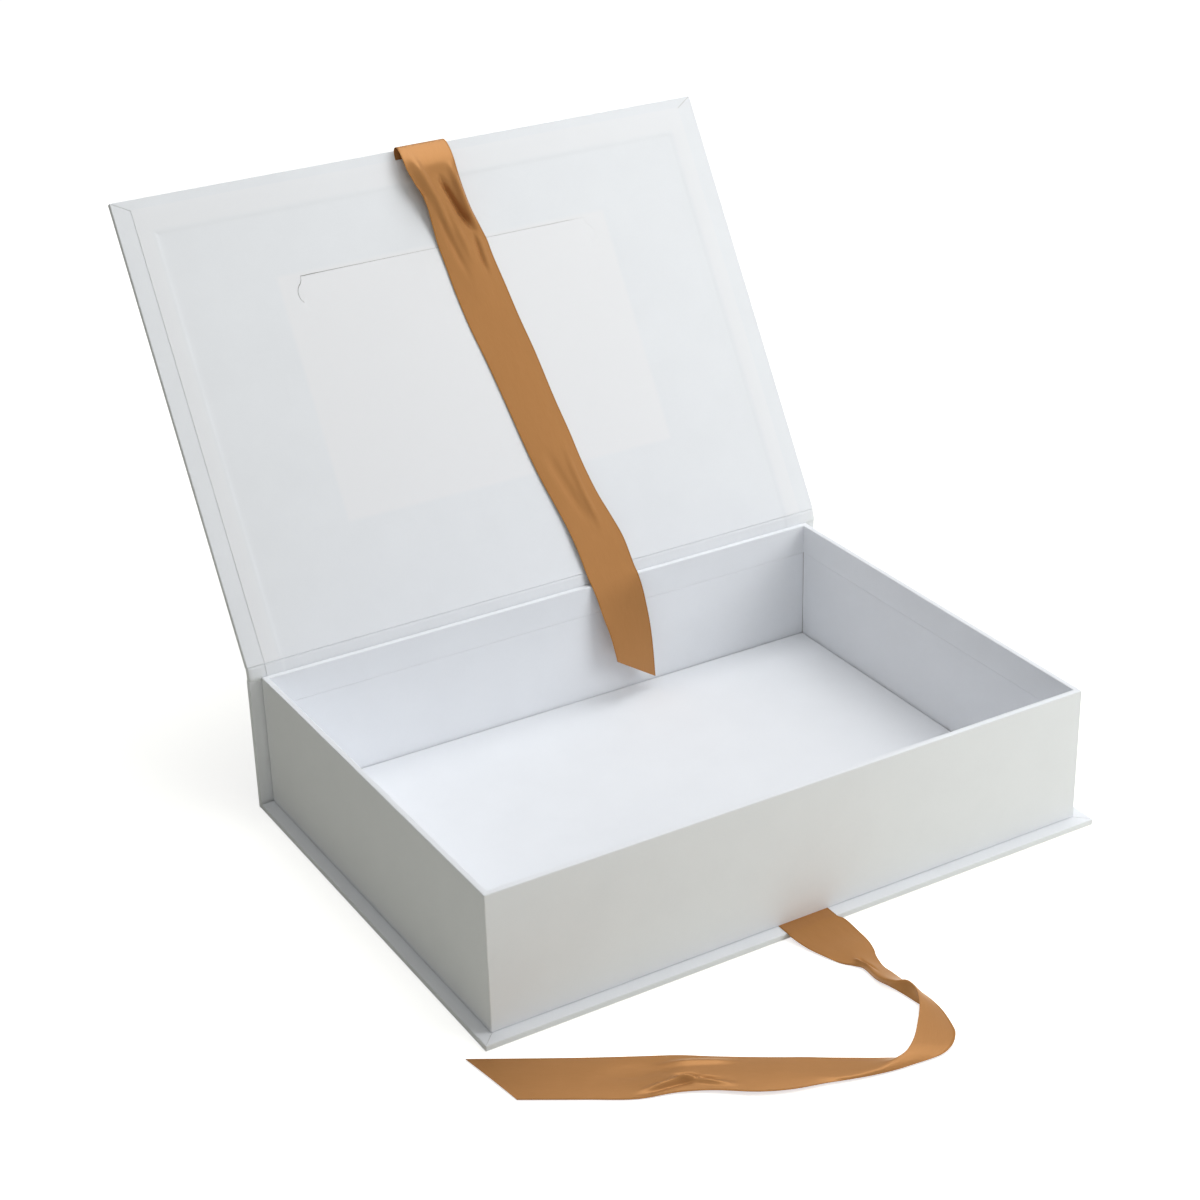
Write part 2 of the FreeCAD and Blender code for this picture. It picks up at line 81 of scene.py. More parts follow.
ribbon_side_clear = 0.0003
base_ribbon_shift = 0.0012
ribbon_lie = 0.0003
hinge_back = 0.00185
hinge_drop = 0.0003

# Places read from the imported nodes
base_low, base_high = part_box("base_cover")
wrap_low, wrap_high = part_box("tray_wrap")
spine_low, spine_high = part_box("spine_cover")
floor_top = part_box("floor_liner")[1].z
inner_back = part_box("tray_back_wall")[0].y - paper
case_half = base_high.x
front = base_low.y
back = base_high.y
base_top = base_high.z
tray_front = wrap_low.y
rim = wrap_high.z
spine_top = spine_high.z
spine_inner = spine_low.y
hinge = frame["joints"][0]
hinge_y, hinge_z = hinge["pos_m"][1:]
open_angle = math.radians(hinge["range_deg"][1])
lid_back = hinge_y - hinge_back
lid_top = hinge_z + hinge_drop
lid_depth = lid_back - front

# Depths in the lid, from its outer face
turn_in_depth = paper + 2 * lid_ply
border_depth = turn_in_depth + paper
liner_depth = border_depth + paper
liner_half = case_half - liner_side_border
liner_end = lid_depth - liner_front_border
bed_half = case_half - case_turn_in
bed_end = lid_depth - case_turn_in
pocket_top = pocket_from_hinge + pocket_height


def on_lid(x, v, depth):
    """Places on the open lid: v runs from its hinge edge, depth from its outer face."""
    x, v, depth = np.broadcast_arrays(*(np.asarray(value, float) for value in (x, v, depth)))
    y = lid_back - v - hinge_y
    z = lid_top - depth - hinge_z
    turn, lean = math.cos(open_angle), -math.sin(open_angle)
    return np.stack([x, hinge_y + y * turn - z * lean, hinge_z + y * lean + z * turn], axis=-1)


lid_out = Vector(on_lid(0, 0, 1) - on_lid(0, 0, 0))


# Material helpers

def new_material(name):
    """Material with its node tree, its surface shader and its coordinates in metres for patterns."""
    material = bpy.data.materials.new(name)
    material.use_nodes = True
    tree = material.node_tree
    shader = tree.nodes["Principled BSDF"]
    place = tree.nodes.new("ShaderNodeTexCoord").outputs["Object"]
    return material, tree, shader, place


def noise(tree, place, scale, detail=3.0, roughness=0.55):
    """Cloudy pattern; the larger its scale, the finer it is."""
    node = tree.nodes.new("ShaderNodeTexNoise")
    node.inputs["Scale"].default_value = scale
    node.inputs["Detail"].default_value = detail
    node.inputs["Roughness"].default_value = roughness
    tree.links.new(place, node.inputs["Vector"])
    return node.outputs["Fac"]


def stretched(tree, place, scale):
    """Pattern coordinates stretched along the axes."""
    node = tree.nodes.new("ShaderNodeMapping")
    node.inputs["Scale"].default_value = scale
    tree.links.new(place, node.inputs["Vector"])
    return node.outputs["Vector"]


def ramp(tree, value, stops):
    """Colours between two stops along a value."""
    node = tree.nodes.new("ShaderNodeValToRGB")
    for element, (position, colour) in zip(node.color_ramp.elements, stops):
        element.position = position
        element.color = (*colour, 1.0)
    tree.links.new(value, node.inputs["Fac"])
    return node.outputs["Color"]


def spread(tree, value, low, high, start=0.0, end=1.0):
    """Value from a start to an end, spread between two levels."""
    node = tree.nodes.new("ShaderNodeMapRange")
    node.inputs["From Min"].default_value = start
    node.inputs["From Max"].default_value = end
    node.inputs["To Min"].default_value = low
    node.inputs["To Max"].default_value = high
    tree.links.new(value, node.inputs["Value"])
    return node.outputs["Result"]


def combine(tree, operation, first, second):
    """Result of a calculation with two values."""
    node = tree.nodes.new("ShaderNodeMath")
    node.operation = operation
    for socket, value in zip(node.inputs, (first, second)):
        if isinstance(value, (int, float)):
            socket.default_value = value
        else:
            tree.links.new(value, socket)
    return node.outputs["Value"]


def weighted(tree, first, second, first_share):
    """Sum of a share of one value and the rest of another."""
    part = combine(tree, "MULTIPLY", first, first_share)
    rest = combine(tree, "MULTIPLY", second, 1 - first_share)
    return combine(tree, "ADD", part, rest)


def bump(tree, height, depth, strength, below=None):
    """Relief of a given depth in metres, over the relief below it."""
    node = tree.nodes.new("ShaderNodeBump")
    node.inputs["Distance"].default_value = depth
    node.inputs["Strength"].default_value = strength
    tree.links.new(height, node.inputs["Height"])
    if below is not None:
        tree.links.new(below, node.inputs["Normal"])
    return node.outputs["Normal"]


def blended(tree, factor, pattern, colour):
    """A pattern that turns to one colour by a factor."""
    node = tree.nodes.new("ShaderNodeMix")
    node.data_type = "RGBA"
    tree.links.new(factor, node.inputs["Factor"])
    tree.links.new(pattern, node.inputs["A"])
    node.inputs["B"].default_value = (*colour, 1.0)
    return node.outputs["Result"]


def soft_between(tree, value, low, high, blur):
    """1 between two levels of a value and 0 outside them, blurred at both."""
    sides = []
    for level, outside in ((low, low - blur), (high, high + blur)):
        node = tree.nodes.new("ShaderNodeMapRange")
        node.interpolation_type = "SMOOTHSTEP"
        node.inputs["From Min"].default_value = outside
        node.inputs["From Max"].default_value = level
        tree.links.new(value, node.inputs["Value"])
        sides.append(node.outputs["Result"])
    return combine(tree, "MULTIPLY", *sides)


# Materials

pale_paper = (0.884, 0.900, 0.932)
deep_paper = (0.856, 0.872, 0.904)
cover_fibre_depth = 0.00004
lining_fibre_depth = 0.00003
# The lid's lining has a tint over the photo pocket, and a share of it over the turn-ins
panel_paper = (0.900, 0.902, 0.925)
panel_blur = 0.003
turn_in_tint_share = 0.6
pale_board = (0.58, 0.56, 0.52)
deep_board = (0.40, 0.38, 0.34)
board_fleck = (0.30, 0.27, 0.23)
pale_glue = (0.90, 0.89, 0.83)
deep_glue = (0.80, 0.78, 0.70)
pale_gold = (0.470, 0.221, 0.080)
deep_gold = (0.423, 0.196, 0.068)
selvedge_gold = (0.376, 0.167, 0.048)
gold_gloss = (1.0, 0.78, 0.45)
# Where a ribbon's selvedge starts and is full, from its middle
selvedge_shares = (0.468, 0.482)


def lining_panels(tree):
    """1 on the lid's lining over the photo pocket, a share of that over the turn-ins, 0 elsewhere."""
    flat = tree.nodes.new("ShaderNodeUVMap")
    flat.uv_map = "flat"
    split = tree.nodes.new("ShaderNodeSeparateXYZ")
    tree.links.new(flat.outputs["UV"], split.inputs["Vector"])
    x, v = split.outputs["X"], split.outputs["Y"]
    pocket_x = soft_between(tree, x, -pocket_width / 2, pocket_width / 2, panel_blur)
    pocket_v = soft_between(tree, v, pocket_from_hinge, pocket_top, panel_blur)
    bed_x = soft_between(tree, x, -bed_half, bed_half, panel_blur)
    bed_v = soft_between(tree, v, -case_turn_in, bed_end, panel_blur)
    bed = combine(tree, "MULTIPLY", bed_x, bed_v)
    over_turn_in = combine(tree, "MULTIPLY", combine(tree, "SUBTRACT", 1.0, bed), turn_in_tint_share)
    return combine(tree, "MAXIMUM", combine(tree, "MULTIPLY", pocket_x, pocket_v), over_turn_in)


def paper_material(name, pale, deep, fibre_depth, panel_tint=None):
    """Matte paper: fibres, a faint cloudiness and the unevenness of glued sheets."""
    material, tree, shader, place = new_material(name)
    fibres = noise(tree, stretched(tree, place, (1.0, 0.45, 0.45)), scale=1500, detail=4, roughness=0.65)
    cloud = noise(tree, place, scale=38)
    waves = noise(tree, place, scale=14, detail=2)
    mottle = weighted(tree, fibres, cloud, first_share=0.35)
    sheet = ramp(tree, mottle, ((0.30, deep), (0.70, pale)))
    if panel_tint:
        sheet = blended(tree, lining_panels(tree), sheet, panel_tint)
    tree.links.new(sheet, shader.inputs["Base Color"])
    tree.links.new(spread(tree, fibres, low=0.68, high=0.88), shader.inputs["Roughness"])
    relief = bump(tree, waves, depth=0.0012, strength=0.10)
    relief = bump(tree, fibres, fibre_depth, strength=0.35, below=relief)
    tree.links.new(relief, shader.inputs["Normal"])
    shader.inputs["Specular IOR Level"].default_value = 0.12
    return material


def greyboard_material(name):
    """Grey recycled board with flecks and pressed fibres."""
    material, tree, shader, place = new_material(name)
    fibres = noise(tree, stretched(tree, place, (1.0, 0.3, 3.0)), scale=700, detail=5, roughness=0.7)
    flecks = noise(tree, place, scale=1600, detail=2, roughness=0.8)
    board = ramp(tree, fibres, ((0.3, deep_board), (0.7, pale_board)))
    fleck = ramp(tree, flecks, ((0.66, (0, 0, 0)), (0.72, (1, 1, 1))))
    tree.links.new(blended(tree, fleck, board, board_fleck), shader.inputs["Base Color"])
    tree.links.new(bump(tree, fibres, depth=0.00008, strength=0.6), shader.inputs["Normal"])
    shader.inputs["Roughness"].default_value = 0.9
    return material


def adhesive_material(name):
    """Dried white glue, a little glossy, brushed on in streaks."""
    material, tree, shader, place = new_material(name)
    streaks = noise(tree, stretched(tree, place, (0.15, 1.0, 1.0)), scale=420, detail=4, roughness=0.6)
    glue = ramp(tree, streaks, ((0.3, deep_glue), (0.7, pale_glue)))
    tree.links.new(glue, shader.inputs["Base Color"])
    tree.links.new(spread(tree, streaks, low=0.35, high=0.55), shader.inputs["Roughness"])
    tree.links.new(bump(tree, streaks, depth=0.00006, strength=0.5), shader.inputs["Normal"])
    return material


def satin_material(name):
    """Gold satin ribbon: long warp floats, a fine weft, selvedges and soft creases."""
    material, tree, shader, _ = new_material(name)
    flat = tree.nodes.new("ShaderNodeUVMap")
    flat.uv_map = "flat"
    place = flat.outputs["UV"]
    floats = noise(tree, stretched(tree, place, (1.0, 0.035, 1.0)), scale=5200, detail=2, roughness=0.5)
    bands = noise(tree, stretched(tree, place, (1.0, 0.12, 1.0)), scale=330, roughness=0.5)
    creases = noise(tree, stretched(tree, place, (1.0, 0.55, 1.0)), scale=85, detail=2, roughness=0.5)
    weft = tree.nodes.new("ShaderNodeTexWave")
    weft.wave_type = "BANDS"
    weft.bands_direction = "Y"
    weft.inputs["Scale"].default_value = 1100
    weft.inputs["Distortion"].default_value = 0.6
    tree.links.new(place, weft.inputs["Vector"])
    across = tree.nodes.new("ShaderNodeSeparateXYZ")
    tree.links.new(place, across.inputs["Vector"])
    from_middle = combine(tree, "ABSOLUTE", across.outputs["X"], 0)
    start, full = (ribbon_width * share for share in selvedge_shares)
    edge = spread(tree, from_middle, low=0.0, high=1.0, start=start, end=full)
    threads = weighted(tree, floats, bands, first_share=0.7)
    gold = ramp(tree, threads, ((0.25, deep_gold), (0.75, pale_gold)))
    tree.links.new(blended(tree, edge, gold, selvedge_gold), shader.inputs["Base Color"])
    edge_rough = combine(tree, "MULTIPLY", edge, 0.12)
    rough = combine(tree, "ADD", spread(tree, threads, low=0.27, high=0.35), edge_rough)
    tree.links.new(rough, shader.inputs["Roughness"])
    relief = bump(tree, creases, depth=0.0005, strength=0.15)
    relief = bump(tree, floats, depth=0.00002, strength=0.2, below=relief)
    relief = bump(tree, weft.outputs["Fac"], depth=0.00002, strength=0.25, below=relief)
    relief = bump(tree, edge, depth=0.00008, strength=0.6, below=relief)
    tree.links.new(relief, shader.inputs["Normal"])
    along = tree.nodes.new("ShaderNodeTangent")
    along.direction_type = "UV_MAP"
    along.uv_map = "flat"
    tree.links.new(along.outputs["Tangent"], shader.inputs["Tangent"])
    shader.inputs["Anisotropic"].default_value = 0.45
    shader.inputs["Metallic"].default_value = 0.18
    shader.inputs["Specular IOR Level"].default_value = 0.2
    shader.inputs["Specular Tint"].default_value = (*gold_gloss, 1.0)
    return material


finishes = {
    "cover_paper": paper_material("cover_paper", pale_paper, deep_paper, cover_fibre_depth),
    "lining_paper": paper_material("lining_paper", pale_paper, deep_paper, lining_fibre_depth),
    "lid_lining": paper_material("lid_lining", pale_paper, deep_paper, lining_fibre_depth, panel_paper),
    "greyboard": greyboard_material("greyboard"),
    "adhesive": adhesive_material("adhesive"),
    "satin_ribbon": satin_material("satin_ribbon"),
}


def finish_with(obj, slot, finish=None):
    """Gives a piece its slot's material, or a finish of its own in that slot."""
    obj.data.materials.clear()
    obj.data.materials.append(finishes[finish or slot])
    return obj


def dress_nodes():
    """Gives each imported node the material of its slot."""
    for part in frame["record"]["subparts"]:
        finish_with(frame["nodes"][part["node"]], part["material_slot"])


# Mesh helpers

def face_normals(places, faces):
    """Sum of the face normals round each place, as unit vectors."""
    normals = np.zeros_like(places)
    for face in faces:
        corners = places[list(face)]
        normals[list(face)] += np.cross(corners[1] - corners[0], corners[2] - corners[0])
    return normals / np.linalg.norm(normals, axis=1)[:, None]


def rim_edges(faces):
    """Edges that only one face has, in that face's order."""
    edges = {edge for face in faces for edge in zip(face, face[1:] + face[:1])}
    return [(a, b) for a, b in edges if (b, a) not in edges]


def sheet_piece(name, places, faces, flat, slot, thickness, front_share):
    """Closed sheet with crisp rims: a share of its thickness lies in front of the places.

    The flat coordinates, in metres, carry the woven patterns.
    """
    places = np.asarray(places, float).reshape(-1, 3)
    flat = np.asarray(flat, float).reshape(-1, 2)
    normals = face_normals(places, faces)
    count = len(places)
    front_side = places + normals * thickness * front_share
    back_side = places - normals * thickness * (1 - front_share)
    border = rim_edges(faces)
    solid = list(faces)
    solid += [tuple(k + count for k in reversed(face)) for face in faces]
    solid += [(b, a, a + count, b + count) for a, b in border]
    mesh = bpy.data.meshes.new(name)
    mesh.from_pydata(np.concatenate([front_side, back_side]).tolist(), [], solid)
    layer = mesh.uv_layers.new(name="flat")
    corners = np.zeros(len(mesh.loops), int)
    mesh.loops.foreach_get("vertex_index", corners)
    layer.data.foreach_set("uv", np.concatenate([flat, flat])[corners].ravel())
    mesh.polygons.foreach_set("use_smooth", [True] * len(mesh.polygons))
    sharp = {tuple(sorted((a + side, b + side))) for a, b in border for side in (0, count)}
    mesh.edges.foreach_set("use_edge_sharp", [tuple(sorted(edge.vertices)) in sharp for edge in mesh.edges])
    obj = bpy.data.objects.new(name, mesh)
    bpy.context.scene.collection.objects.link(obj)
    finish_with(obj, slot)
    return obj


def grid_faces(rows, columns):
    """Faces of a grid of places, row by row."""
    return [
        (r * columns + c, (r + 1) * columns + c, (r + 1) * columns + c + 1, r * columns + c + 1)
        for r in range(rows - 1)
        for c in range(columns - 1)
    ]


def smoothstep(value):
    """Rises smoothly from 0 to 1 as the value does."""
    value = np.clip(value, 0, 1)
    return value * value * (3 - 2 * value)


# Columns in a ribbon's rows: a left, a ridge and a right place, then the arch and the station
left_columns = slice(0, 3)
ridge_columns = slice(3, 6)
right_columns = slice(6, 9)
place_columns = slice(0, 9)
arch_column = 9
station_column = 10


def through(rows, steps):
    """Smooth curve through a ribbon's rows, with so many steps between each two."""
    rows = np.asarray(rows, float)
    gaps = np.sqrt(np.linalg.norm(np.diff(rows[:, place_columns], axis=0), axis=1))[:, None]
    slopes = np.diff(rows, axis=0) / gaps
    inner = (slopes[:-1] * gaps[1:] + slopes[1:] * gaps[:-1]) / (gaps[:-1] + gaps[1:])
    tangents = np.concatenate([slopes[:1], inner, slopes[-1:]])
    out = []
    for k, gap in enumerate(gaps[:, 0]):
        for t in np.arange(steps) / steps:
            out.append(
                rows[k] * (2 * t**3 - 3 * t**2 + 1) + tangents[k] * gap * (t**3 - 2 * t**2 + t)
                + rows[k + 1] * (3 * t**2 - 2 * t**3) + tangents[k + 1] * gap * (t**3 - t**2)
            )
    return np.array(out + [rows[-1]])


# Ribbons

ribbon_columns = 81
ribbon_steps = 7
fold_sharpness = 3.0
fold_fade_share = 0.35


def fold_line(steps):
    """Shares of a left place, a ridge and a right place, at steps along a smooth fold."""
    shares = np.stack([(1 - steps) ** 2, 2 * fold_sharpness * steps * (1 - steps), steps**2])
    return shares / shares.sum(axis=0)


def folded(left, ridge, right, shares):
    """Places along a fold from a left place over a ridge to a right place."""
    peak = ridge + (ridge - (left + right) / 2) / fold_sharpness
    return sum(share[..., None] * place for share, place in zip(shares, (left, peak, right)))


column_shares = fold_line((1 - np.cos(np.linspace(0, math.pi, ribbon_columns))) / 2)
across_shares = (column_shares[2] - column_shares[0]) / 2


def arch_profile(share):
    """Shallow arch across the ribbon, flat at both edges."""
    return 1 - (2 * share) ** 2


def fold_heights(stations, folds):
    """Lengthwise ridges and valleys, each between two stations and fading at its ends."""
    height = np.zeros((len(stations), ribbon_columns))
    for start, end, start_share, end_share, top, width in folds:
        run = np.clip((stations - start) / (end - start), 0, 1)
        middle = start_share + (end_share - start_share) * run
        fade = smoothstep(run / fold_fade_share) * smoothstep((1 - run) / fold_fade_share)
        height += (fade * top)[:, None] * np.exp(-((across_shares[None] - middle[:, None]) / width) ** 2)
    return height


def ribbon_places(rows, folds, rise=None):
    """Grid of places on a ribbon and their flat coordinates; relief rises square to it or as given."""
    fine = through(rows, ribbon_steps)
    left, ridge, right = (fine[:, columns] for columns in (left_columns, ridge_columns, right_columns))
    arch = fine[:, arch_column]
    steps = np.arange(len(fine)) / ribbon_steps
    stations = np.interp(steps, np.arange(len(rows)), [row[station_column] for row in rows])
    places = folded(left[:, None], ridge[:, None], right[:, None], column_shares[:, None])
    middle = (left + right) / 2
    if rise is None:
        rise = np.cross(np.gradient(middle, axis=0), right - left)
        rise /= np.linalg.norm(rise, axis=1)[:, None]
    else:
        rise = np.broadcast_to(np.asarray(rise, float), middle.shape)
    relief = np.outer(arch, arch_profile(across_shares)) + fold_heights(stations, folds)
    places = places + rise[:, None] * (relief * ribbon_width)[..., None]
    run = np.concatenate([[0], np.cumsum(np.linalg.norm(np.diff(middle, axis=0), axis=1))])
    flat = np.stack(np.broadcast_arrays(across_shares[None] * ribbon_width, run[:, None]), axis=-1)
    return places, flat, stations, run


def ribbon_piece(name, places, flat):
    """Satin ribbon whose thickness lies half on each side of its places."""
    faces = grid_faces(len(places), ribbon_columns)
    return sheet_piece(name, places, faces, flat, "satin_ribbon", ribbon_thickness, front_share=0.5)


# Lid ribbon on the lid: share of the lid's depth, then left edge, right edge, lift and arch
# as shares of the ribbon's width
lid_ribbon_shares = (
    (0.9895, -0.500, 0.500, 0.010, 0.000),
    (0.9990, -0.496, 0.504, 0.035, 0.000),
    (1.0030, -0.485, 0.519, 0.073, 0.000),
    (1.0020, -0.473, 0.535, 0.115, 0.000),
    (0.9964, -0.466, 0.549, 0.153, 0.000),
    (0.9842, -0.473, 0.554, 0.207, 0.000),
    (0.9647, -0.480, 0.546, 0.277, 0.000),
    (0.9414, -0.470, 0.526, 0.327, 0.000),
    (0.9190, -0.419, 0.519, 0.330, 0.000),
    (0.8974, -0.354, 0.534, 0.300, 0.000),
    (0.8752, -0.276, 0.568, 0.250, 0.000),
    (0.8540, -0.236, 0.610, 0.192, 0.010),
    (0.8328, -0.217, 0.664, 0.135, 0.020),
    (0.8115, -0.198, 0.732, 0.085, 0.030),
    (0.7897, -0.186, 0.799, 0.048, 0.035),
    (0.7679, -0.171, 0.852, 0.027, 0.038),
    (0.7320, -0.142, 0.881, 0.017, 0.035),
    (0.6650, -0.100, 0.962, 0.011, 0.014),
    (0.5860, -0.019, 1.050, 0.0062, 0.000),
    (0.5010, 0.115, 1.162, 0.012, 0.008),
    (0.3900, 0.262, 1.273, 0.013, 0.010),
    (0.3110, 0.358, 1.373, 0.016, 0.022),
    (0.2310, 0.477, 1.454, 0.022, 0.034),
    (0.1600, 0.615, 1.569, 0.034, 0.024),
    (0.1060, 0.716, 1.700, 0.051, 0.010),
    (0.0530, 0.779, 1.808, 0.073, 0.000),
)
# Its tail in the tray, left edge then right edge: place along the hinge and reach in front of the back
# wall as shares of the width, and drop below the rim as a share of the tray's depth
lid_tail_shares = (
    (0.840, -0.054, -0.063, 1.880, -0.062, -0.060),
    (0.868, 0.012, -0.010, 1.905, 0.006, -0.010),
    (0.912, 0.118, 0.084, 1.950, 0.088, 0.100),
    (0.974, 0.250, 0.245, 2.004, 0.160, 0.277),
    (1.049, 0.342, 0.382, 2.044, 0.218, 0.454),
    (1.099, 0.412, 0.510, 2.068, 0.264, 0.655),
    (1.138, 0.466, 0.630, 2.084, 0.304, 0.907),
)
# Its folds: from and to a station, a share of the lid's depth or below 0 a row of the tail, then places
# across there, height and width as shares of its width
lid_ribbon_fold_shares = (
    (0.995, 0.770, -0.33, -0.14, 0.060, 0.100),
    (0.980, 0.850, -0.52, -0.47, -0.030, 0.120),
    (0.932, 0.780, 0.05, 0.35, -0.120, 0.070),
    (0.952, 0.775, 0.38, 0.43, 0.090, 0.075),
    (0.907, 0.873, -0.50, -0.47, 0.034, 0.030),
    (0.900, 0.700, -0.06, 0.07, 0.034, 0.080),
    (0.870, 0.680, -0.32, -0.12, -0.040, 0.060),
    (0.795, 0.685, 0.28, 0.25, -0.040, 0.035),
    (0.800, 0.680, 0.36, 0.33, 0.022, 0.050),
    (0.740, 0.600, -0.05, 0.04, 0.016, 0.240),
    (0.300, 0.060, 0.27, 0.16, 0.030, 0.065),
    (0.300, 0.080, -0.16, 0.02, -0.034, 0.120),
    (-1.500, -3.500, 0.48, -0.10, -0.005, 0.040),
)
split_station_share = 0.587
tab_station_share = 1.05
edge_station_share = lid_ribbon_shares[1][0]
ribbon_clearance = 0.00016


def lid_ribbon_rows():
    """Rows from the tab under the lining, over the lid's edge and down the lid into the tray."""
    rows = []
    tab_depth = liner_depth - ribbon_thickness / 2
    for v in (liner_end - lid_tab, liner_end):
        left = on_lid(-ribbon_width / 2, v, tab_depth)
        right = on_lid(ribbon_width / 2, v, tab_depth)
        rows.append([*left, *(left + right) / 2, *right, 0, tab_station_share])
    for v_share, left_share, right_share, lift_share, arch_share in lid_ribbon_shares:
        depth = liner_depth + lift_share * ribbon_width
        left = on_lid(left_share * ribbon_width, v_share * lid_depth, depth)
        right = on_lid(right_share * ribbon_width, v_share * lid_depth, depth)
        rows.append([*left, *(left + right) / 2, *right, arch_share, v_share])
    tray_depth = rim - floor_top
    for k, shares in enumerate(lid_tail_shares):
        edges = []
        for x_share, reach_share, drop_share in (shares[:3], shares[3:]):
            y = inner_back - reach_share * ribbon_width
            edges.append(np.array((x_share * ribbon_width, y, rim - drop_share * tray_depth)))
        rows.append([*edges[0], *(edges[0] + edges[1]) / 2, *edges[1], 0, -k])
    return rows


def clear_of_lid(places, stations):
    """Keeps the ribbon's folds off the lining, from the lid's edge down to its hinge."""
    height = (places - on_lid(0, 0, liner_depth)) @ np.array(lid_out)
    on_the_lid = (stations > 0) & (stations <= edge_station_share)
    short = np.where(on_the_lid[:, None], np.maximum(ribbon_clearance - height, 0), 0)
    return places + short[..., None] * np.array(lid_out)


def lid_ribbon():
    """One ribbon in two pieces: the upper goes with the lid, the lower hangs into the tray."""
    places, flat, stations, run = ribbon_places(lid_ribbon_rows(), lid_ribbon_fold_shares)
    places = clear_of_lid(places, stations)
    split = int(np.argmax(stations < split_station_share))
    top = ribbon_piece("lid_ribbon_fold", places[:split + 1], flat[:split + 1])
    fall = ribbon_piece("lid_ribbon_fall", places[split:], flat[split:])
    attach(top, "lid")
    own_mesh(top)
    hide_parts("lid_ribbon")
    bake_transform(fall)
    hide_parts("lid_ribbon_tail")


# Base ribbon, as shares of its width: each place is to the right of its middle, in front of the base and
# above the table. Flat rows have the places of both edges and an arch, and folded rows have the places
# of the left edge, the ridge of the fold and the right edge
base_ribbon_shares = (
    (-0.49, 0.14, 0.083, 0.57, 0.13, 0.083, 0.00),
    (-0.40, 0.48, 0.032, 0.60, 0.47, 0.030, 0.01),
    (-0.25, 0.88, 0.014, 0.58, 0.82, 0.012, 0.03),
    (-0.14, 1.10, 0.012, 0.10, 1.10, 0.050, 0.51, 1.06, 0.010),
    (-0.02, 1.25, 0.012, 0.07, 1.27, 0.070, 0.43, 1.23, 0.012),
    (0.05, 1.40, 0.012, 0.07, 1.49, 0.110, 0.36, 1.50, 0.012),
    (0.04, 1.76, 0.012, 0.05, 1.85, 0.130, 0.37, 1.75, 0.020),
    (0.11, 2.03, 0.012, 0.13, 2.11, 0.170, 0.35, 2.04, 0.060),
    (0.17, 2.35, 0.012, 0.26, 2.26, 0.210, 0.33, 2.27, 0.120),
    (0.21, 2.62, 0.010, 0.26, 2.49, 0.210, 0.38, 2.48, 0.080),
    (0.27, 2.88, 0.006, 0.17, 2.70, 0.200, 0.42, 2.71, 0.050),
    (0.24, 3.17, 0.004, 0.02, 2.92, 0.180, 0.40, 3.02, 0.040),
    (0.17, 3.44, 0.004, -0.23, 3.20, 0.160, 0.29, 3.42, 0.040),
    (0.01, 3.64, 0.004, -0.44, 3.41, 0.140, 0.20, 3.61, 0.040),
    (-0.23, 3.71, 0.004, -0.65, 3.57, 0.125, 0.00, 3.80, 0.035),
    (-0.54, 3.68, 0.004, -0.81, 3.65, 0.105, -0.25, 3.90, 0.025),
    (-0.83, 3.62, 0.002, -0.99, 3.68, 0.090, -0.52, 3.90, 0.020),
    (-1.04, 3.50, 0.002, -1.14, 3.70, 0.085, -0.76, 3.87, 0.015),
    (-1.23, 3.38, 0.000, -1.31, 3.71, 0.075, -1.05, 3.84, 0.015),
    (-1.49, 3.21, 0.000, -1.56, 3.66, 0.065, -1.38, 3.78, 0.020),
    (-1.78, 3.02, 0.000, -1.92, 3.54, 0.060, -1.79, 3.68, 0.030),
    (-2.07, 2.82, 0.000, -2.23, 3.33, 0.055, -2.20, 3.55, 0.040),
    (-2.45, 2.58, 0.000, -2.76, 3.40, 0.055, 0.03),
    (-2.80, 2.35, 0.000, -3.22, 3.18, 0.060, 0.03),
    (-3.29, 2.03, 0.010, -3.78, 2.75, 0.040, 0.03),
    (-3.74, 1.72, 0.020, -4.24, 2.49, 0.020, 0.03),
    (-4.26, 1.39, 0.000, -4.81, 2.29, 0.004, 0.02),
    (-5.00, 0.96, 0.000, -5.50, 1.86, 0.000, 0.02),
    (-6.56, 0.00, 0.000, -6.37, 1.31, 0.000, 0.01),
)
# Its puckers: from and to a row of the table above, counted from 1, then places across there, height and
# width as shares of its width
base_ribbon_fold_shares = (
    (2.5, 6.0, -0.50, -0.50, -0.016, 0.030),
    (4.0, 6.5, -0.10, 0.02, 0.030, 0.060),
    (4.2, 6.8, 0.05, 0.16, -0.026, 0.050),
    (24.4, 26.4, 0.36, 0.12, 0.050, 0.050),
    (24.6, 26.2, 0.26, 0.02, -0.040, 0.045),
    (25.0, 27.0, 0.10, 0.34, 0.044, 0.050),
    (25.1, 27.1, 0.20, 0.43, -0.036, 0.045),
    (24.2, 26.8, -0.36, -0.22, 0.034, 0.080),
    (25.7, 27.9, -0.18, -0.05, -0.030, 0.200),
)
flat_row_length = 7
base_edge_round = 0.0005
table_clearance = 0.00018


def base_place(x_share, y_share, z_share):
    """Place in front of the base from shares of the ribbon's width."""
    x = base_ribbon_shift + x_share * ribbon_width
    return np.array((x, front - y_share * ribbon_width, ribbon_lie + z_share * ribbon_width))


